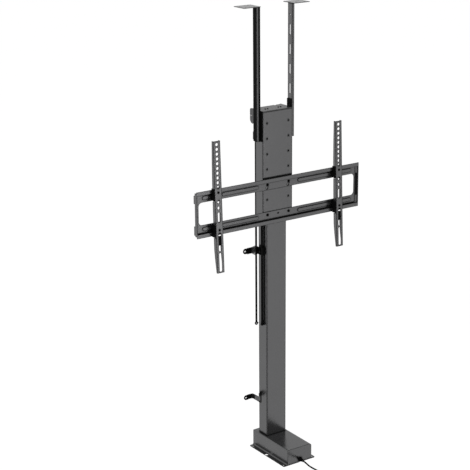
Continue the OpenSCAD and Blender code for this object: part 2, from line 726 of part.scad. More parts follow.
module cord_coil() color(black) difference() {
    sweep(coil_pts, cord_r, 6);
    translate([coil_c[0] - 100, coil_c[1] - 100, -20]) cube([200, 200, 20]);
}

// The band that holds the coil together, on the side towards the base
module coil_tie() color(black) {
    deep = turn_pitch * per + 2 * cord_r + 0.8;
    high = turn_pitch * (layers - 1) + 2 * cord_r + 1.2;
    translate([coil_c[0], coil_c[1] + coil_r, 0]) xrun(-2.5, 2.5) difference() {
        translate([-deep / 2 - 1, 0]) square([deep + 2, high + 1.4]);
        translate([-deep / 2, 0.5]) square([deep, high]);
    }
}

module mains_plug() color(black) translate([coil_c[0] - tail_rad, coil_c[1], 9]) {
    rotate([-90, 0, 0]) cylinder(r1 = 4.4, r2 = 7, h = 14);
    translate([0, 44, 0]) rotate([90, 0, 0]) linear_extrude(32) rrect(26, 18, 5);
}

module plug_blades() color(zinc) translate([coil_c[0] - tail_rad, coil_c[1] + 44, 9]) {
    for (s = [-1, 1]) translate([s * 6.35 - 0.75, 0, -1.5]) cube([1.5, 16, 6.3]);
    translate([0, 0, -5.2]) rotate([-90, 0, 0]) cylinder(r = 2.4, h = 18);
}

base_plate();
base_housing();
gearbox();
gearbox_lid();
motor();
worm_shaft();
worm_wheel();
lead_screw();
thrust_bearing();
control_board();
board_parts();
cable_gland();
outer_column();
column_collar();
inner_mast();
mast_head();
mast_glide();
screw_nut();
carriage_cover();
weld_nuts();
top_cap();
cap_screws();
tv_frame();
frame_bolts();
left_arm();
left_hooks();
left_arm_bolts();
right_arm();
right_hooks();
right_arm_bolts();
left_spacer();
right_spacer();
lid_bolts();
left_lid_support();
left_lid_plate();
left_duct();
right_lid_support();
right_lid_plate();
rod_hanger();
rear_rod();
front_rod();
upper_bracket();
rod_guide();
lower_bracket();
bracket_screws();
mains_cord();
cord_coil();
coil_tie();
mains_plug();
plug_blades();
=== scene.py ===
# %% [markdown]
# ## A motorised screen lift
# The object is a floor-standing column that raises a screen: a long base box, a fixed square
# column, and a carriage with a slotted rail frame, two hooked screen arms and two tall lid
# supports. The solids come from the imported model, so their places are right from the start.
# Blender's work here is the finish of each surface and the pieces that need a finer shape than
# plain solids give: the mains lead, its strain relief and plug, the screws and the spindle.

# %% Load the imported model
import bpy
import json
import math
import numpy as np
from mathutils import Matrix, Vector


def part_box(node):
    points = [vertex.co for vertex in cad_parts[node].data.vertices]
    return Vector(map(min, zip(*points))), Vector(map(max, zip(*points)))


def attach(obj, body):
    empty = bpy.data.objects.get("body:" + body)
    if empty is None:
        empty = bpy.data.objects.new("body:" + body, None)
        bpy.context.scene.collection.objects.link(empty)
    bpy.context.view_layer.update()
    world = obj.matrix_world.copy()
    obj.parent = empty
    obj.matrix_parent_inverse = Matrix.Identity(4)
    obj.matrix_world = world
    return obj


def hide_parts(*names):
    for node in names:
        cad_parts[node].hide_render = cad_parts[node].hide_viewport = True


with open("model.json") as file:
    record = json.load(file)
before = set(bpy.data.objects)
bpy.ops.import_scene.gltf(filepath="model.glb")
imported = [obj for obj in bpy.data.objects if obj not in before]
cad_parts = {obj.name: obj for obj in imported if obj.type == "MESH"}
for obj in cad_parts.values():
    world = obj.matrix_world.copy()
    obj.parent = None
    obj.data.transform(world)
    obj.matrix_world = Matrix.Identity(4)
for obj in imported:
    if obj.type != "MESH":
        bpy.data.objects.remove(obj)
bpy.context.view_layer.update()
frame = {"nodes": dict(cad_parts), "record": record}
NODES = frame["nodes"]


def shown(thing):
    """Links a new object into the scene and gives it back."""
    bpy.context.scene.collection.objects.link(thing)
    return thing


# %% [markdown]
# ## The camera
# A product picture like this one is taken from far away with a long lens, so upright edges stay
# nearly parallel. The camera stands to the left of the front and looks down a little. Its turn
# is built from three plain rotations: the heading, the downward tilt and a half degree of roll.

# %% Camera
CAMERA_AT = (-3.05350, -4.24558, 2.53681)
HEADING, TILT, ROLL = -34.1256, 17.3208, -0.5075
SENSOR_MM, LENS_MM = 36.0, 107.155
FAR_END = 60.0


def rotation(degrees, axis):
    """A turn about one axis, as a 4 x 4 matrix."""
    return Matrix.Rotation(math.radians(degrees), 4, axis)


eye = bpy.data.cameras.new("studio_camera")
eye.sensor_width = SENSOR_MM
eye.lens = LENS_MM
eye.clip_end = FAR_END
camera = shown(bpy.data.objects.new("studio_camera", eye))
camera.matrix_world = (Matrix.Translation(CAMERA_AT) @ rotation(HEADING, "Z")
                       @ rotation(90.0 - TILT, "X") @ rotation(ROLL, "Z"))
bpy.context.scene.camera = camera
print("camera lens", eye.lens, "mm")

# %% [markdown]
# ## Surfaces from numbers
# A new piece here is a surface worked out as whole arrays: a grid of points with rows along one
# direction and columns round the other. One helper turns such grids into a mesh and closes
# their ends. The object stays at the origin, with its place in its points, so that a pattern on
# object coordinates doesn't slide. Most pieces are round about an axis, so a second helper
# works like a lathe: a profile of distance and radius is carried round.

# %% Grid helper
def surface(name, grids, material, smooth=40.0):
    """Each grid is rows x columns x 3 points of a closed tube: row i and i+1 are joined by
    quads, the last column joins the first, and each end is closed by one polygon."""
    points, quads, ends, start = [], [], [], 0
    for grid in grids:
        rows, cols = grid.shape[:2]
        i, j = np.meshgrid(np.arange(rows - 1), np.arange(cols), indexing="ij")
        k = (j + 1) % cols
        quads.append(start + np.stack([i * cols + j, i * cols + k, (i + 1) * cols + k,
                                       (i + 1) * cols + j], axis=-1).reshape(-1, 4))
        ends.append((start + np.arange(cols)[::-1]).tolist())
        ends.append((start + (rows - 1) * cols + np.arange(cols)).tolist())
        points.append(grid.reshape(-1, 3))
        start += rows * cols
    mesh = bpy.data.meshes.new(name)
    mesh.from_pydata(np.concatenate(points).tolist(), [],
                     np.concatenate(quads).tolist() + ends)
    mesh.validate()
    mesh.shade_smooth()
    mesh.set_sharp_from_angle(angle=math.radians(smooth))
    mesh.materials.append(material)
    return shown(bpy.data.objects.new(name, mesh))


print("helper ready: surface")


# %% Lathe helper
def angles(sides):
    """Equal steps round a full circle, in radians."""
    return np.arange(sides) * 2 * math.pi / sides


def round_axis(centre, direction, heights, radii):
    """Point(h, t) = centre + w*h + radius(h, t)*(a*cos t + b*sin t), where w is the direction
    and a, b are unit vectors square to it; radii has a row for each height."""
    w = np.array(direction, float) / np.linalg.norm(direction)
    a = np.cross([0.0, 0.0, 1.0] if abs(w[2]) < 0.9 else [0.0, 1.0, 0.0], w)
    a /= np.linalg.norm(a)
    b = np.cross(w, a)
    t = angles(radii.shape[1])
    ring = np.cos(t)[:, None] * a + np.sin(t)[:, None] * b
    return (np.array(centre, float) + heights[:, None, None] * w
            + radii[:, :, None] * ring[None, :, :])


def turned(centre, direction, profile, sides=32):
    """A lathe surface from rows (distance along, radius[, hexness]). Hexness 0 is round and 1 a
    hexagon: radius(t) = r*(1 - hexness + hexness*cos(30) / cos(t mod 60 - 30))."""
    rows = np.array([tuple(p) + (0.0,) * (3 - len(p)) for p in profile], float)
    hexed = math.cos(math.pi / 6) / np.cos((angles(sides) % (math.pi / 3)) - math.pi / 6)
    radii = rows[:, 1:2] * (1 - rows[:, 2:3] + rows[:, 2:3] * hexed[None, :])
    return round_axis(centre, direction, rows[:, 0], radii)


print("helper ready: turned")

# %% [markdown]
# ## The mains lead
# The lead leaves a bush at the foot of the base box, bends down under its own weight and runs
# forwards over the floor, out of the picture. The length that the picture doesn't show is wound
# into a neat round coil in layers, as for storage. A flat spiral goes inwards in one layer and
# outwards in the next, and climbs between them. The part's source has the same route, so the
# lead lies where its solid is.

# %% Sizes of the lead and its coil
LEAD_R = 0.00315
COIL_LOOPS, COIL_R, LAYERS = 6.5, 0.035, 4
COIL_MID = (-0.030, -0.440)
TURN_GAP = 0.0007
TURN_PITCH = 2 * LEAD_R + TURN_GAP
PER_LAYER = COIL_LOOPS / LAYERS
COIL_OUTER = COIL_R + TURN_PITCH * PER_LAYER / 2
TAIL_OUT = 0.020
SWING_LOOPS, CLIMB_LOOPS = 0.32, 0.12
LOW_Z, START_RISE, PLUG_RISE = 0.0021, 0.0003, 0.0069
TIE_RISE, TIE_POWER = 0.0013, 12
STEPS_A_LOOP = 24
print("turn pitch:", round(1000 * TURN_PITCH, 2), "mm, loops a layer:", PER_LAYER)


# %% Route of the lead
def ease(f):
    """Smooth step from 0 to 1: 3g^2 - 2g^3 with g held between 0 and 1."""
    g = np.clip(f, 0.0, 1.0)
    return g * g * (3 - 2 * g)


def coil_route(t):
    """Points of the coil at t loops: the radius goes in and out by one pitch a loop, the
    height climbs one pitch between layers and over the tie, and the last stretch swings out
    and comes down to the plug."""
    layer = np.minimum(np.floor(t / PER_LAYER), LAYERS - 1)
    f = t - layer * PER_LAYER
    radius = np.where(layer % 2 == 0, COIL_OUTER - TURN_PITCH * f,
                      COIL_OUTER - TURN_PITCH * (PER_LAYER - f))
    radius = radius + TAIL_OUT * ease((t - COIL_LOOPS) / SWING_LOOPS + 2)
    near = np.round(t / PER_LAYER)
    g = (t - near * PER_LAYER) / CLIMB_LOOPS
    climb = np.where((near < 1) | (near >= LAYERS) | (np.abs(g) > 1), layer,
                     near - 0.5 + 0.5 * np.sin(np.pi / 2 * np.clip(g, -1, 1)))
    turn = 2 * np.pi * t
    z = (LOW_Z + START_RISE * ease(1 - 5 * t) + TURN_PITCH * climb
         + TIE_RISE * np.maximum(0, -np.sin(turn)) ** TIE_POWER
         - (TURN_PITCH * (LAYERS - 1) - PLUG_RISE) * ease((t - COIL_LOOPS) / SWING_LOOPS + 1))
    z = np.maximum(z, LEAD_R)
    return np.stack([COIL_MID[0] + radius * np.cos(turn),
                     COIL_MID[1] - radius * np.sin(turn), z], axis=-1)


free_run = np.array([
    [2, -190, 13.4], [2, -209, 13.4], [2, -216, 12.8], [3, -224, 10.7], [4, -235, 7.4],
    [5, -248, 4.7], [7, -262, 3.5], [8, -276, 3.4], [9, -292, 3.4], [10, -310, 3.4],
    [11, -328, 3.4], [12, -346, 3.4], [12.5, -364, 3.4], [12.5, -382, 3.4],
    [12, -400, 3.4], [11.4, -418, 3.4]]) / 1000
coil_steps = np.arange(int(STEPS_A_LOOP * COIL_LOOPS) + 1)
lead_points = np.concatenate([free_run, coil_route(coil_steps / STEPS_A_LOOP)])

# %% [markdown]
# The lead is one curve with a round bevel, which keeps its thickness even through every bend.
# The bevel is given as one metre and each point scales it down to the lead's radius, because a
# curve's bounding box counts the points' radii and not the bevel.

# %% Lead as one curve
lead_curve = bpy.data.curves.new("mains_lead", "CURVE")
lead_curve.dimensions = "3D"
lead_curve.bevel_depth = 1.0
lead_curve.bevel_resolution = 4
lead_curve.use_fill_caps = True
line = lead_curve.splines.new("POLY")
line.points.add(len(lead_points) - 1)
line.points.foreach_set("co", np.c_[lead_points, np.ones(len(lead_points))].ravel())
line.points.foreach_set("radius", np.full(len(lead_points), LEAD_R))
line.use_smooth = True
mains_lead = shown(bpy.data.objects.new("mains_lead", lead_curve))
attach(mains_lead, "base")
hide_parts("mains_cord", "cord_coil")
print("lead thickness:", round(2000 * LEAD_R, 1), "mm")

# %% [markdown]
# ## Shared finishes
# Four effects come back on many pieces, so each is a node group with its own values where it
# is used. The first is the grain of a powder coat: fine rounded pits over a slow change of tone.
# The second reads where two faces meet and gives a mask of edges: it paints a narrow line of
# shade along a folded sheet's bend, where the bend turns away from the light, and on a few small
# parts a lighter line of wear. The third finds places that are closed in by their neighbours,
# such as the trough behind a rail's lip or the ring round a screw head, and paints shade there,
# where little light comes. The fourth is the faint unevenness of moulded plastic.

# %% Node group helpers
FLOAT, VECTOR = "NodeSocketFloat", "NodeSocketVector"


def new_group(name, inputs, outputs):
    """An empty shader node group; inputs are float sockets, given as name: default, and
    outputs are given as name: kind of socket."""
    group = bpy.data.node_groups.new(name, "ShaderNodeTree")
    for label, default in inputs.items():
        socket = group.interface.new_socket(label, in_out="INPUT", socket_type=FLOAT)
        socket.default_value = default
    for label, kind in outputs.items():
        group.interface.new_socket(label, in_out="OUTPUT", socket_type=kind)
    start = group.nodes.new("NodeGroupInput")
    end = group.nodes.new("NodeGroupOutput")
    return group, start, end


def math_node(tree, operation, first, second, clamp=False):
    """One Math node; an input is a socket to link or a plain number."""
    node = tree.nodes.new("ShaderNodeMath")
    node.operation = operation
    node.use_clamp = clamp
    for slot, value in zip(node.inputs, (first, second)):
        if isinstance(value, (int, float)):
            slot.default_value = value
        else:
            tree.links.new(value, slot)
    return node.outputs[0]


def object_place(tree):
    """The point in the piece's own coordinates, which move with it."""
    return tree.nodes.new("ShaderNodeTexCoord").outputs["Object"]


def noise(tree, vector, scale, detail=2.0, roughness=0.5):
    """Noise on a vector socket; scale is a number or a socket, in features a metre."""
    node = tree.nodes.new("ShaderNodeTexNoise")
    node.inputs["Detail"].default_value = detail
    node.inputs["Roughness"].default_value = roughness
    if isinstance(scale, (int, float)):
        node.inputs["Scale"].default_value = scale
    else:
        tree.links.new(scale, node.inputs["Scale"])
    tree.links.new(vector, node.inputs["Vector"])
    return node.outputs["Fac"]


print("helpers ready: new_group, math_node, object_place, noise")

# %% Coat grain group
SPECK_DEPTH, FINE_SCALE, GLOSS_DEPTH = 0.10, 260.0, 0.12
coat_grain, g_in, g_out = new_group(
    "coat_grain", {"Grain Scale": 900.0, "Cloud Scale": 6.0, "Cloud Depth": 0.05},
    {"Height": FLOAT, "Tone": FLOAT, "Gloss Shift": FLOAT})
place = object_place(coat_grain)
pits = noise(coat_grain, place, g_in.outputs["Grain Scale"], 3.0, 0.55)
cloud = noise(coat_grain, place, g_in.outputs["Cloud Scale"], 3.0, 0.6)
fine = noise(coat_grain, place, FINE_SCALE)
coat_grain.links.new(pits, g_out.inputs["Height"])


def centred(tree, value, depth):
    """(value - 0.5) * depth, so that a noise changes things both ways."""
    return math_node(tree, "MULTIPLY", math_node(tree, "SUBTRACT", value, 0.5), depth)


drift = centred(coat_grain, cloud, g_in.outputs["Cloud Depth"])
speck = centred(coat_grain, pits, SPECK_DEPTH)
tone = math_node(coat_grain, "ADD", math_node(coat_grain, "ADD", drift, speck), 1.0)
coat_grain.links.new(tone, g_out.inputs["Tone"])
coat_grain.links.new(centred(coat_grain, fine, GLOSS_DEPTH), g_out.inputs["Gloss Shift"])
print("group:", coat_grain.name)

# %% Edge group: painted shade lines and edge wear
EDGE_GAIN, PATCH_SCALE, PATCH_GAIN = 6.0, 140.0, 1.4
edge_wear_and_shade, e_in, e_out = new_group(
    "edge_wear_and_shade", {"Reach": 0.0012, "Amount": 0.5}, {"Mask": FLOAT, "Normal": VECTOR})
soft = edge_wear_and_shade.nodes.new("ShaderNodeBevel")
soft.samples = 6
edge_wear_and_shade.links.new(e_in.outputs["Reach"], soft.inputs["Radius"])
flat = edge_wear_and_shade.nodes.new("ShaderNodeNewGeometry")
meet = edge_wear_and_shade.nodes.new("ShaderNodeVectorMath")
meet.operation = "DOT_PRODUCT"
edge_wear_and_shade.links.new(soft.outputs["Normal"], meet.inputs[0])
edge_wear_and_shade.links.new(flat.outputs["Normal"], meet.inputs[1])
patchy = math_node(edge_wear_and_shade, "MULTIPLY",
                   noise(edge_wear_and_shade, object_place(edge_wear_and_shade), PATCH_SCALE, 4.0, 0.65), PATCH_GAIN)
mask = math_node(edge_wear_and_shade, "SUBTRACT", 1.0, meet.outputs["Value"])
mask = math_node(edge_wear_and_shade, "MULTIPLY", mask, EDGE_GAIN, clamp=True)
mask = math_node(edge_wear_and_shade, "MULTIPLY", mask, patchy)
mask = math_node(edge_wear_and_shade, "MULTIPLY", mask, e_in.outputs["Amount"], clamp=True)
edge_wear_and_shade.links.new(mask, e_out.inputs["Mask"])
edge_wear_and_shade.links.new(soft.outputs["Normal"], e_out.inputs["Normal"])
print("group:", edge_wear_and_shade.name)

# %% Crevice group: painted shade in closed-in places
crevice, c_in, c_out = new_group("crevice", {"Reach": 0.012, "Depth": 1.5}, {"Open": FLOAT})
closed_in = crevice.nodes.new("ShaderNodeAmbientOcclusion")
closed_in.samples = 8
crevice.links.new(c_in.outputs["Reach"], closed_in.inputs["Distance"])
crevice.links.new(math_node(crevice, "POWER", closed_in.outputs["AO"], c_in.outputs["Depth"]),
                  c_out.inputs["Open"])
print("group:", crevice.name)

# %% Moulding group
SLOW_SCALE, SLOW_LOW, SLOW_DEPTH = 25.0, 0.85, 0.3
mould_skin, m_in, m_out = new_group("mould_skin", {"Scale": 700.0},
                                    {"Height": FLOAT, "Tone": FLOAT})
place = object_place(mould_skin)
mould_skin.links.new(noise(mould_skin, place, m_in.outputs["Scale"]), m_out.inputs["Height"])
slow = noise(mould_skin, place, SLOW_SCALE, 3.0)
mould_skin.links.new(math_node(mould_skin, "ADD", SLOW_LOW,
                               math_node(mould_skin, "MULTIPLY", slow, SLOW_DEPTH)),
                     m_out.inputs["Tone"])
print("group:", mould_skin.name)

# %% [markdown]
# ## Materials
# A coated sheet isn't one flat colour: its tone drifts a little and tiny pits break up the gloss.
# So the base colour is a plain colour times the tone from the grain group, mixed along each fold
# towards a dark line colour by the edge mask, which is painted shade, and darkened with painted
# shade in narrow gaps by the crevice group. The coat mirrors its pale surroundings softly and
# without colour, so its shader is mostly metallic. Metal, rubber and plastic get their own
# recipe.
# Values that are the same all over stay on the shader's sockets.

# %% Shader helpers
MIX_FACTOR, MIX_A, MIX_B, MIX_OUT = 0, 6, 7, 2


def empty_material(name, rough, metallic=0.0, **sockets):
    """A material with only an output and a Principled shader; sockets sets plain values."""
    made = bpy.data.materials.new(name)
    made.use_nodes = True
    tree = made.node_tree
    tree.nodes.clear()
    out = tree.nodes.new("ShaderNodeOutputMaterial")
    shader = tree.nodes.new("ShaderNodeBsdfPrincipled")
    shader.inputs["Roughness"].default_value = rough
    shader.inputs["Metallic"].default_value = metallic
    for label, value in sockets.items():
        shader.inputs[label.replace("_", " ")].default_value = value
    tree.links.new(shader.outputs[0], out.inputs[0])
    return made, tree, shader


def use_group(tree, group, **values):
    """One use of a shared node group, with its own values where they are given."""
    node = tree.nodes.new("ShaderNodeGroup")
    node.node_tree = group
    for label, value in values.items():
        node.inputs[label.replace("_", " ")].default_value = value
    return node


def colour_mix(tree, blend, factor, first, second):
    """One Mix node for colours; each input is a socket to link, a number or a plain colour."""
    mix = tree.nodes.new("ShaderNodeMix")
    mix.data_type = "RGBA"
    mix.blend_type = blend
    for index, value in ((MIX_FACTOR, factor), (MIX_A, first), (MIX_B, second)):
        if isinstance(value, tuple):
            mix.inputs[index].default_value = (*value, 1.0)
        elif isinstance(value, float):
            mix.inputs[index].default_value = value
        else:
            tree.links.new(value, mix.inputs[index])
    return mix.outputs[MIX_OUT]


def bumped(tree, shader, height, strength, distance, normal=None):
    """Height through a Bump node into the shader's normal, over an optional softer normal."""
    bump = tree.nodes.new("ShaderNodeBump")
    bump.inputs["Strength"].default_value = strength
    bump.inputs["Distance"].default_value = distance
    tree.links.new(height, bump.inputs["Height"])
    if normal is not None:
        tree.links.new(normal, bump.inputs["Normal"])
    tree.links.new(bump.outputs[0], shader.inputs["Normal"])


print("helpers ready: empty_material, use_group, colour_mix, bumped")


# %% Coated steel
def coated(name, colour, edge_shade_and_wear_colour, rough, grain=900.0, pit=0.25, reach=0.0012, shade_and_wear_amount=0.5,
           gap_reach=0.012, gap_depth=1.5, metallic=0.0, specular=0.4, slant=1.0):
    """Powder coat: grain for tone and bump, painted shade in narrow gaps, and an edge line: dark
    painted shade along the folds of the sheets, lighter wear on the motor and black parts. A
    slant under 1 keeps faces that are seen nearly edge-on from shining."""
    made, tree, shader = empty_material(name, rough, metallic, Specular_IOR_Level=specular,
                                        Specular_Tint=(slant, slant, slant, 1.0))
    skin = use_group(tree, coat_grain, Grain_Scale=grain, Cloud_Depth=0.12)
    edge_node = use_group(tree, edge_wear_and_shade, Reach=reach, Amount=shade_and_wear_amount)
    gap_shade = use_group(tree, crevice, Reach=gap_reach, Depth=gap_depth)
    paint = colour_mix(tree, "MULTIPLY", 1.0, colour, skin.outputs["Tone"])
    # Painted shade: the edge mask mixes in a dark line along each fold; where the edge colour is
    # lighter, as on the motor, it is a line of wear.
    paint = colour_mix(tree, "MIX", edge_node.outputs["Mask"], paint, edge_shade_and_wear_colour)
    # Painted shade: the crevice group darkens the colour in narrow, closed-in gaps.
    paint = colour_mix(tree, "MULTIPLY", 1.0, paint, gap_shade.outputs["Open"])
    tree.links.new(paint, shader.inputs["Base Color"])
    tree.links.new(math_node(tree, "ADD", skin.outputs["Gloss Shift"], rough),
                   shader.inputs["Roughness"])
    bumped(tree, shader, skin.outputs["Height"], strength=pit, distance=0.0004,
           normal=edge_node.outputs["Normal"])
    return made


print("builder ready: coated")

# %% [markdown]
# The wall straps are black, but their outer faces look grey over a short stretch where they
# catch the light. So their recipe paints that light as grey, only on faces that look to the
# left, between two distances along Y.

# %% Wall strap finish with painted light
def black_with_painted_light(name, dark, grey, rough, from_y, to_y):
    """Satin black sheet with painted light: its faces towards -X are grey between two distances
    along Y.
    """
    made, tree, shader = empty_material(name, rough, metallic=0.85)
    skin = use_group(tree, coat_grain)
    parts = []
    for source in (tree.nodes.new("ShaderNodeNewGeometry").outputs["Normal"],
                   object_place(tree)):
        split = tree.nodes.new("ShaderNodeSeparateXYZ")
        tree.links.new(source, split.inputs[0])
        parts.append(split)
    facing = math_node(tree, "LESS_THAN", parts[0].outputs["X"], -0.6)
    between = math_node(tree, "MULTIPLY",
                        math_node(tree, "GREATER_THAN", parts[1].outputs["Y"], from_y),
                        math_node(tree, "LESS_THAN", parts[1].outputs["Y"], to_y))
    paint = colour_mix(tree, "MULTIPLY", 1.0, dark, skin.outputs["Tone"])
    # Painted light: grey on faces towards -X within the Y band, where the strap catches the
    # light.
    paint = colour_mix(tree, "MIX", math_node(tree, "MULTIPLY", facing, between), paint, grey)
    tree.links.new(paint, shader.inputs["Base Color"])
    bumped(tree, shader, skin.outputs["Height"], strength=0.15, distance=0.0003)
    return made


print("builder ready: black_with_painted_light")


# %% Plastic, rubber and bare metal
def moulded(name, colour, rough, scale=700.0, strength=0.15, specular=0.15):
    """Moulded plastic or rubber: fine spark texture and slightly rounded edges."""
    made, tree, shader = empty_material(name, rough, Specular_IOR_Level=specular)
    skin = use_group(tree, mould_skin, Scale=scale)
    edge_node = use_group(tree, edge_wear_and_shade, Reach=0.0008)
    tree.links.new(colour_mix(tree, "MULTIPLY", 1.0, colour, skin.outputs["Tone"]),
                   shader.inputs["Base Color"])
    bumped(tree, shader, skin.outputs["Height"], strength, distance=0.0003,
           normal=edge_node.outputs["Normal"])
    return made


BRUSH_TONE, BRUSH_GLOSS = 0.25, 0.2


def plated(name, colour, rough, scale=(60.0, 60.0, 60.0)):
    """Bare or plated metal: stretched noise for brush marks in tone, gloss and height."""
    made, tree, shader = empty_material(name, rough, metallic=1.0)
    stretch = tree.nodes.new("ShaderNodeMapping")
    stretch.inputs["Scale"].default_value = scale
    tree.links.new(object_place(tree), stretch.inputs["Vector"])
    marks = noise(tree, stretch.outputs[0], 8.0, 5.0, 0.6)
    tone = math_node(tree, "ADD", 1.0 - BRUSH_TONE / 2,
                     math_node(tree, "MULTIPLY", marks, BRUSH_TONE))
    tree.links.new(colour_mix(tree, "MULTIPLY", 1.0, colour, tone), shader.inputs["Base Color"])
    tree.links.new(math_node(tree, "ADD", rough - BRUSH_GLOSS / 2,
                             math_node(tree, "MULTIPLY", marks, BRUSH_GLOSS)),
                   shader.inputs["Roughness"])
    bumped(tree, shader, marks, strength=0.1, distance=0.0003)
    return made


print("builders ready: moulded, plated")

# %% [markdown]
# Most sheets share one paint, but the lines of painted shade along their folds differ: narrow on
# the base box, the frame and the lid plates, wider on the arms and lid supports, widest on the
# column and the carriage.
# The cap's coat is a little darker and duller.

# %% Coats of the sheets
PAINT = (0.120, 0.120, 0.122)
STEEL = coated("steel_coat", PAINT, (0.008, 0.008, 0.008), 0.20, reach=0.0034, shade_and_wear_amount=2.60,
               gap_depth=2.0, metallic=0.85, slant=0.75)
FOLDED = coated("folded_steel_coat", PAINT, (0.003, 0.003, 0.003), 0.20, reach=0.0052,
                shade_and_wear_amount=4.50, gap_reach=0.004, metallic=0.85, slant=0.70)
BOXED = coated("boxed_steel_coat", PAINT, (0.002, 0.002, 0.002), 0.20, reach=0.0066,
               shade_and_wear_amount=5.00, gap_reach=0.004, metallic=0.95, slant=0.72)
CAP = coated("cap_coat", (0.095, 0.095, 0.097), (0.010, 0.010, 0.010), 0.24, reach=0.0024,
             shade_and_wear_amount=1.5, metallic=0.80, slant=0.60)
UPPER_STRAP = black_with_painted_light("upper_strap_coat", (0.001, 0.001, 0.001), (0.19, 0.19, 0.19), 0.3,
                        0.026, 0.070)
LOWER_STRAP = black_with_painted_light("lower_strap_coat", (0.001, 0.001, 0.001), (0.11, 0.11, 0.112), 0.3,
                        0.010, 0.042)
print("sheet finishes:", len([STEEL, FOLDED, BOXED, CAP, UPPER_STRAP, LOWER_STRAP]))

# %% Finishes of the small parts
BLACK = coated("black_coat", (0.002, 0.002, 0.002), (0.006, 0.006, 0.006), 0.55, pit=0.15,
               specular=0.04)
MOTOR = coated("motor_coat", (0.03, 0.03, 0.032), (0.3, 0.3, 0.3), 0.35, grain=400.0, shade_and_wear_amount=0.6)
PLASTIC = moulded("black_plastic", (0.002, 0.002, 0.002), 0.6, specular=0.04)
RUBBER = moulded("cord_rubber", (0.002, 0.002, 0.002), 0.65, scale=1600.0, strength=0.08,
                 specular=0.04)
NYLON = moulded("nut_plastic", (0.70, 0.67, 0.56), 0.45, scale=300.0, specular=0.4)
BOARD = moulded("board", (0.02, 0.10, 0.035), 0.35, scale=200.0, specular=0.4)
ZINC = plated("zinc", (0.62, 0.62, 0.63), 0.38)
DARK_NUT = plated("dark_nut", (0.02, 0.02, 0.02), 0.45)
SPINDLE = plated("spindle_steel", (0.45, 0.45, 0.46), 0.3, scale=(30.0, 30.0, 400.0))
print("materials made:", len(bpy.data.materials))

# %% A finish for every solid
FINISH = {"steel_coat": STEEL, "cap_coat": CAP, "black_coat": BLACK, "black_plastic": PLASTIC,
          "zinc": ZINC, "motor_coat": MOTOR, "nut_plastic": NYLON, "board": BOARD,
          "cord_rubber": RUBBER}
SPECIAL = {"weld_nuts": DARK_NUT, "outer_column": BOXED, "carriage_cover": BOXED,
           "left_arm": FOLDED, "right_arm": FOLDED,
           "left_lid_support": FOLDED, "right_lid_support": FOLDED,
           "upper_bracket": UPPER_STRAP, "lower_bracket": LOWER_STRAP}
for entry in frame["record"]["subparts"]:
    mesh = NODES[entry["node"]].data
    mesh.materials.clear()
    mesh.materials.append(SPECIAL.get(entry["node"], FINISH[entry["material_slot"]]))
lead_curve.materials.append(RUBBER)

# %% [markdown]
# ## The strain relief
# Where the lead leaves the box it is held by a bush with a soft tail, so that a pull doesn't
# bend it sharply. Its tail is a cone cut by grooves. Each groove is a dip in the radius of one
# turned profile.

# %% Strain relief
BUSH = np.array([0.002, -0.189, 0.0134])
GROOVES, GROOVE_PITCH, GROOVE_TAPER = 6, 0.0029, 0.00060
tail = [(0.0, 0.0080), (0.0012, 0.0080)]
for k in range(GROOVES):
    h = 0.0022 + GROOVE_PITCH * k
    r = 0.0078 - GROOVE_TAPER * k
    tail += [(h, r), (h + 0.0002, r - 0.0012), (h + 0.0011, r - 0.0013), (h + 0.0013, r - 0.0001)]
tail += [(0.0194, 0.0043), (0.0200, 0.0038), (0.0200, LEAD_R + 0.0001)]
flange = [(-0.0060, 0.0058), (-0.0001, 0.0058), (0.0, 0.0088), (0.0004, 0.0095),
          (0.0024, 0.0095), (0.0030, 0.0088), (0.0030, 0.0079)]
strain_relief = surface("strain_relief", [turned(BUSH, (0, -1, 0), tail),
                                          turned(BUSH + [0, 0.003, 0], (0, -1, 0), flange)],
                        PLASTIC)
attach(strain_relief, "base")
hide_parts("cable_gland")
print("strain relief grooves:", GROOVES)

# %% [markdown]
# ## The plug
# The moulded plug has a body with rounded edges and a grip that narrows towards the lead. Each
# ring of it is a superellipse: a power of 2 gives an ellipse and a higher one a rounder box.
# So a single sweep of rings makes the neck, the grip grooves and the flat front.

# %% Plug body
PLUG_AT = np.array([COIL_MID[0] - (COIL_OUTER + TAIL_OUT), COIL_MID[1], LOW_Z + PLUG_RISE])
GRIP_GROOVES, GRIP_PITCH = 4, 0.0035


def superellipse(centre, half_x, half_z, power, sides=40):
    """Ring point = centre + (half_x*sgn(c)|c|^(2/p), 0, half_z*sgn(s)|s|^(2/p))."""
    t = angles(sides)
    c, s = np.cos(t), np.sin(t)
    e = 2.0 / power
    return np.stack([centre[0] + half_x * np.sign(c) * np.abs(c) ** e,
                     np.full(sides, centre[1]),
                     centre[2] + half_z * np.sign(s) * np.abs(s) ** e], axis=-1)


stations = [(0.000, 0.0036, 0.0036, 2), (0.0005, 0.0043, 0.0043, 2), (0.006, 0.0054, 0.0054, 2),
            (0.011, 0.0070, 0.0066, 2.3), (0.0125, 0.0105, 0.0078, 3), (0.014, 0.0122, 0.0084, 4)]
for k in range(GRIP_GROOVES):
    y = 0.016 + GRIP_PITCH * k
    stations += [(y, 0.0128, 0.0089, 5), (y + 0.0006, 0.0120, 0.0083, 5),
                 (y + 0.0016, 0.0120, 0.0083, 5), (y + 0.0022, 0.0128, 0.0089, 5)]
stations += [(0.034, 0.0130, 0.0090, 6), (0.0425, 0.0130, 0.0090, 6), (0.0437, 0.0126, 0.0086, 5),
             (0.0440, 0.0118, 0.0078, 5)]
plug_rings = np.stack([superellipse(PLUG_AT + [0, y, 0], hx, hz, p)
                       for y, hx, hz, p in stations])
plug_body = surface("plug_body", [plug_rings[:, ::-1]], PLASTIC)
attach(plug_body, "base")
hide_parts("mains_plug")
print("plug rings:", len(plug_rings))

# %% [markdown]

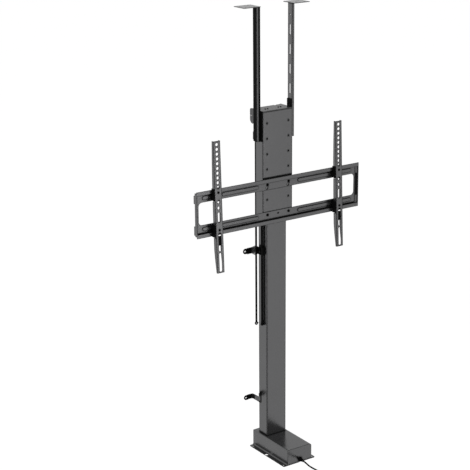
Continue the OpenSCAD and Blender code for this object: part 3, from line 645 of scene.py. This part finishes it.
# %% [markdown]
# ## Screws
# A socket screw has a low rounded head with a hexagonal hollow. All of them are one lathe
# profile: up the shank, round the head and down into the hollow, where the rings change from
# circles into hexagons. A screw's sizes are its head's radius and height, then its shank's
# radius and length.

# %% Screw maker
def shank_rows(shank_r, shank_l):
    """Profile of a shank below its seat, with a chamfered end."""
    return [(-shank_l, shank_r * 0.8), (-shank_l + shank_r * 0.3, shank_r), (-0.00001, shank_r)]


def button_screw(at, out, head_r, head_h, shank_r, shank_l):
    """Profile of a button head with a hexagonal hollow; at is the seat, out points away."""
    key = head_r * 0.46
    return turned(at, out, shank_rows(shank_r, shank_l) + [
        (0.0, head_r * 0.97), (head_h * 0.15, head_r), (head_h * 0.55, head_r * 0.93),
        (head_h * 0.85, head_r * 0.74), (head_h, head_r * 0.56), (head_h, key * 1.02),
        (head_h * 0.97, key, 1.0), (head_h * 0.35, key, 1.0), (head_h * 0.3, key * 0.4, 1.0)], 36)


def screw_set(name, node, body, screws):
    """One object for a set of black screws that the model keeps in one node."""
    made = surface(name, [button_screw(*s) for s in screws], BLACK)
    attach(made, body)
    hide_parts(node)
    print(name + ":", len(screws), "screws")


print("maker ready: screw_set")

# %% Screws of the cap and frame
CAP_SCREW_X, CAP_SCREW_Y = (-0.036, -0.025, 0.025, 0.036), -0.005
CAP_HEAD_R, CAP_SHANK_R = 0.0036, 0.00155
cap_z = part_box("top_cap")[1].z
low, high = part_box("cap_screws")
screw_set("cap_screw_set", "cap_screws", "carriage",
          [((x, CAP_SCREW_Y, cap_z), (0, 0, 1), CAP_HEAD_R, high.z - cap_z, CAP_SHANK_R,
            cap_z - low.z) for x in CAP_SCREW_X])

BOLT_X, BOLT_HEAD_R, BOLT_HEAD_H, BOLT_SHANK_R = (-0.05, 0.05), 0.0054, 0.0034, 0.0029
BOLT_SEAT = 0.0035
low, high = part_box("frame_bolts")
screw_set("frame_screw_set", "frame_bolts", "carriage",
          [((x, low.y + BOLT_SEAT, z), (0, -1, 0), BOLT_HEAD_R, BOLT_HEAD_H, BOLT_SHANK_R,
            high.y - low.y - BOLT_SEAT)
           for x in BOLT_X for z in (low.z + BOLT_HEAD_R, high.z - BOLT_HEAD_R)])

# %% [markdown]
# The screws of the arms lean with the arms: their axis is the arm's own normal, turned by the
# arm's backward lean. The wall straps have small button heads on their outer side.

# %% Screws of the arms and straps
LEAN = math.radians(2.3)
ARM_NORMAL = (0, -math.cos(LEAN), math.sin(LEAN))
ARM_PIVOT_Y, ARM_PIVOT_Z = -0.070, 1.0825
ARM_SCREWS_UP = (0.0585, -0.0860)
ARM_SCREW = (0.0046, 0.0030, 0.0020, 0.0110)
for side in ("left", "right"):
    low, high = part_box(side + "_arm")
    mid_x = (low.x + high.x) / 2
    seats = [(mid_x, ARM_PIVOT_Y + h * math.sin(LEAN), ARM_PIVOT_Z + h * math.cos(LEAN))
             for h in ARM_SCREWS_UP]
    screw_set(side + "_arm_screw_set", side + "_arm_bolts", side + "_screen_arm",
              [(seat, ARM_NORMAL, *ARM_SCREW) for seat in seats])

STRAP_SCREW = (0.0035, 0.0020, 0.00195)
LOWER_SCREWS = [((-0.050, 0.0195, z), 0.0050) for z in (0.203, 0.229)]
UPPER_SCREWS = [((-0.061, 0.003, z), 0.0160) for z in (0.8405, 0.8605)]
screw_set("strap_screw_set", "bracket_screws", "base",
          [(seat, (-1, 0, 0), *STRAP_SCREW, deep)
           for seat, deep in LOWER_SCREWS + UPPER_SCREWS])

# %% [markdown]
# The lid supports are clamped in their slots by hexagon bolts, each with a washer under its
# head and a nut inside the carriage. A button head's rings are circles, and these heads' rings
# are hexagons.

# %% Bolts of the lid supports
def hexagon_bolt(at, out, washer_r, head_r, head_h, shank_r, shank_l):
    """Profile of a shank, a washer and a hexagon head whose top rim is chamfered."""
    return turned(at, out, shank_rows(shank_r, shank_l) + [
        (0.0, washer_r), (0.0008, washer_r), (0.0008, head_r, 1.0), (head_h * 0.9, head_r, 1.0),
        (head_h, head_r * 0.86, 0.2)], 36)


def hexagon_nut(at, out, r, thick):
    """Profile of a nut round its shank: a hexagon whose two rims are chamfered."""
    return turned(at, out, [(0.0, r * 0.86, 0.2), (thick * 0.12, r, 1.0),
                            (thick * 0.88, r, 1.0), (thick, r * 0.86, 0.2)], 36)


LID_BOLT_X, LID_BOLT_Y, LID_BOLT_Z, NUT_BEHIND = 0.0763, -0.012, (1.321, 1.396), 0.0128
BOLT_SIZES = {"washer_r": 0.0060, "head_r": 0.0050, "head_h": 0.0030, "shank_r": 0.0030,
              "shank_l": 0.0127}
NUT_SIZES = {"r": 0.0055, "thick": 0.0039}
grids = []
for sign in (-1, 1):
    for z in LID_BOLT_Z:
        seat = np.array([sign * LID_BOLT_X, LID_BOLT_Y, z])
        grids.append(hexagon_bolt(seat, (sign, 0, 0), **BOLT_SIZES))
        grids.append(hexagon_nut(seat - [sign * NUT_BEHIND, 0, 0], (sign, 0, 0), **NUT_SIZES))
lid_set = surface("lid_bolt_set", grids, BLACK)
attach(lid_set, "carriage")
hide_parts("lid_bolts")
print("lid bolts:", len(grids) // 2)

# %% [markdown]
# ## The front rod
# The front rod slides through the black block on the column's side and ends below in a
# drop-shaped knob that keeps it from slipping out. Turned on a lathe, it is one profile of
# radius against height: a round nose, a belly, a slow neck, the long shaft and a small collar.

# %% Front rod
ROD_R, KNOB_R, KNOB_H, NECK_IN = 0.0040, 0.0059, 0.0125, 0.0011
low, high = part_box("front_rod")
length = high.z - low.z
foot = ((low.x + high.x) / 2, (low.y + high.y) / 2, low.z)
knob = np.array([0.0, 0.04, 0.12, 0.25, 0.4, 0.55, 0.7, 0.85, 1.0]) * KNOB_H
belly = KNOB_R * np.sqrt(np.clip(1 - ((KNOB_R - knob) / KNOB_R).clip(-1, 1) ** 2, 0.01, 1))
neck = knob > KNOB_R
belly[neck] = KNOB_R - NECK_IN * ease((knob[neck] - KNOB_R) / (KNOB_H - KNOB_R))
profile = ([(h, r) for h, r in zip(knob, belly)]
           + [(0.0155, 0.0043), (0.0185, ROD_R), (length - 0.0036, ROD_R),
              (length - 0.0030, 0.0056), (length - 0.0026, 0.0060), (length - 0.0005, 0.0060),
              (length, 0.0055)])
front_rod = surface("slide_rod", [turned(foot, (0, 0, 1), profile)], BLACK)
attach(front_rod, "carriage")
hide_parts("front_rod")
print("front rod:", round(length, 3), "m")

# %% [markdown]
# ## The drive inside
# The lift is driven by a worm on the motor's shaft, a worm wheel and a long lead screw. The
# model keeps plain cylinders for them, which is what their motion needs. Here each gets its
# real flanks: the radius dips with a trapezoid wave that runs round the part. When the wave
# also climbs along the axis it is a thread, and when it stands still it is a row of teeth.

# %% Threads and teeth
def wave(phase):
    """Trapezoid of period 1 and height 0 to 1: crest, falling flank, root, rising flank."""
    g = np.mod(phase, 1.0)
    return np.clip(np.minimum(np.abs(g - 0.5) * 4 - 0.5, 1.0), 0.0, 1.0)


def threaded(centre, direction, profile, starts, lead, depth, sides):
    """A lathe surface with flanks from rows (h, r, cut): where cut is 1, radius(h, t) =
    r - depth*(1 - wave(starts*t/2pi - h/lead)); the wave is starts*t/2pi where lead is 0."""
    rows = np.array(profile, float)
    climb = rows[:, 0] / lead if lead else np.zeros(len(rows))
    phase = starts * angles(sides)[None, :] / (2 * math.pi) - climb[:, None]
    radii = rows[:, 1][:, None] - depth * (1 - wave(phase)) * rows[:, 2][:, None]
    return round_axis(centre, direction, rows[:, 0], radii)


print("helper ready: threaded")

# %% Spindle
SCREW_LEAD, SCREW_DEPTH, SCREW_R = 0.008, 0.0011, 0.0080
low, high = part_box("lead_screw")
length = high.z - low.z
turns = np.linspace(0.0920, length - 0.002, 780)
profile = ([(0.0, 0.0056, 0), (0.0005, 0.0060, 0), (0.0509, 0.0060, 0), (0.0510, 0.0078, 0),
            (0.0814, 0.0078, 0), (0.0818, 0.0127, 0), (0.0822, 0.0130, 0), (0.0874, 0.0130, 0),
            (0.0878, 0.0127, 0), (0.0880, 0.0078, 0)]
           + [(h, SCREW_R, 1) for h in turns]
           + [(length - 0.001, 0.0062, 0), (length, 0.0055, 0)])
spindle = surface("threaded_spindle", [threaded((0, 0, low.z), (0, 0, 1), profile, 1,
                                                SCREW_LEAD, SCREW_DEPTH, 32)],
                  SPINDLE, smooth=30.0)
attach(spindle, "spindle")
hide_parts("lead_screw")
print("spindle turns:", round((turns[-1] - turns[0]) / SCREW_LEAD))

# %% Worm
WORM_AT = (0.024, 0.0, 0.032)
WORM_STARTS, WORM_LEAD, WORM_DEPTH, WORM_R, WORM_HALF = 2, 0.0094, 0.0012, 0.0056, 0.0140
low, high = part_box("worm_shaft")
profile = ([(low.y, 0.0036, 0), (low.y + 0.0005, 0.0040, 0), (-0.0152, 0.0040, 0),
            (-0.0150, 0.0042, 0), (-0.0142, WORM_R, 0)]
           + [(y, WORM_R, 1) for y in np.linspace(-WORM_HALF, WORM_HALF, 90)]
           + [(0.0142, WORM_R, 0), (0.0149, 0.0042, 0), (high.y - 0.0005, 0.0040, 0),
              (high.y, 0.0036, 0)])
worm = surface("worm", [threaded(WORM_AT, (0, 1, 0), profile, WORM_STARTS, WORM_LEAD,
                                 WORM_DEPTH, 32)], SPINDLE, smooth=30.0)
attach(worm, "worm")
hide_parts("worm_shaft")
print("worm starts:", WORM_STARTS)

# %% Worm wheel
TEETH, TOOTH_DEPTH, WHEEL_R, WHEEL_HUB = 24, 0.0021, 0.0180, 0.0062
low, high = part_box("worm_wheel")
tall = high.z - low.z
profile = [(0.0, WHEEL_HUB, 0), (0.0, 0.0175, 1), (0.0006, WHEEL_R, 1),
           (tall - 0.0006, WHEEL_R, 1), (tall, 0.0175, 1), (tall, WHEEL_HUB, 0)]
wheel = surface("worm_wheel_toothed", [threaded((0, 0, low.z), (0, 0, 1), profile, TEETH, 0,
                                                TOOTH_DEPTH, 240)], NYLON, smooth=30.0)
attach(wheel, "spindle")
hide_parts("worm_wheel")
print("wheel teeth:", TEETH)

# %% [markdown]
# ## Floor and light
# The floor is pale and plain, and so is the world. Both look white to the camera, in glossy
# reflections and through glass, by the Light Path node, while the light that falls on the
# object stays at a level at which a colour renders about as it is written. The main lamp is
# wide and soft and stands at the upper left. A wide, weak panel behind on the left is what the
# left faces mirror towards the camera, and a smaller, weak one stands low in front.

# %% Floor
FLOOR_HALF, FLOOR_Z, FLOOR_TONE = 30, -0.0002, 0.92
GLOW_STRENGTH, GLOW_SHARE = 1.12, 0.88


def white_where_seen(tree, share, plain, white):
    """Mixes a share of the white shader in for rays from the camera, a mirror or glass."""
    path = tree.nodes.new("ShaderNodeLightPath")
    seen = math_node(tree, "MAXIMUM", path.outputs["Is Camera Ray"],
                     math_node(tree, "MAXIMUM", path.outputs["Is Glossy Ray"],
                               path.outputs["Is Transmission Ray"]))
    mix = tree.nodes.new("ShaderNodeMixShader")
    tree.links.new(math_node(tree, "MULTIPLY", seen, share), mix.inputs[0])
    tree.links.new(plain.outputs[0], mix.inputs[1])
    tree.links.new(white.outputs[0], mix.inputs[2])
    return mix.outputs[0]


floor_mesh = bpy.data.meshes.new("studio_floor")
floor_mesh.from_pydata([(x * FLOOR_HALF, y * FLOOR_HALF, FLOOR_Z)
                        for x, y in ((-1, -1), (1, -1), (1, 1), (-1, 1))], [], [(0, 1, 2, 3)])
floor = shown(bpy.data.objects.new("studio_floor", floor_mesh))
floor_look = bpy.data.materials.new("studio_floor")
floor_look.use_nodes = True
tree = floor_look.node_tree
tree.nodes.clear()
out = tree.nodes.new("ShaderNodeOutputMaterial")
shade = tree.nodes.new("ShaderNodeBsdfDiffuse")
shade.inputs["Color"].default_value = (FLOOR_TONE, FLOOR_TONE, FLOOR_TONE, 1.0)
glow = tree.nodes.new("ShaderNodeEmission")
glow.inputs["Strength"].default_value = GLOW_STRENGTH
tree.links.new(white_where_seen(tree, GLOW_SHARE, shade, glow), out.inputs[0])
floor_mesh.materials.append(floor_look)
print("floor:", 2 * FLOOR_HALF, "m wide")

# %% World
FILL_STRENGTH, WHITE_STRENGTH = 0.14, 1.0
world = bpy.data.worlds.new("studio")
bpy.context.scene.world = world
world.use_nodes = True
tree = world.node_tree
tree.nodes.clear()
out = tree.nodes.new("ShaderNodeOutputWorld")
grounds = []
for strength in (FILL_STRENGTH, WHITE_STRENGTH):
    ground = tree.nodes.new("ShaderNodeBackground")
    ground.inputs["Color"].default_value = (1, 1, 1, 1)
    ground.inputs["Strength"].default_value = strength
    grounds.append(ground)
tree.links.new(white_where_seen(tree, 1.0, *grounds), out.inputs[0])
print("world fill:", FILL_STRENGTH)


# %% Lamps
def soft_lamp(name, at, aim, size, power):
    """A square area lamp at a point, turned to face another."""
    lamp = bpy.data.lights.new(name, "AREA")
    lamp.size = size
    lamp.energy = power
    way = Vector(aim) - Vector(at)
    thing = shown(bpy.data.objects.new(name, lamp))
    thing.matrix_world = (Matrix.Translation(at)
                          @ way.to_track_quat("-Z", "Y").to_matrix().to_4x4())


soft_lamp("key", at=(-3.2, -2.2, 3.6), aim=(0, 0, 1.0), size=2.0, power=150)
soft_lamp("side", at=(-1.7, 2.4, 0.9), aim=(0, 0, 0.9), size=2.4, power=2.2)
soft_lamp("front", at=(0.5, -2.6, 0.5), aim=(-0.3, 0, 1.0), size=1.2, power=8)
bpy.context.scene.view_settings.view_transform = "Standard"
print("lamps:", len(bpy.data.lights))

# %% Update the scene
bpy.context.view_layer.update()
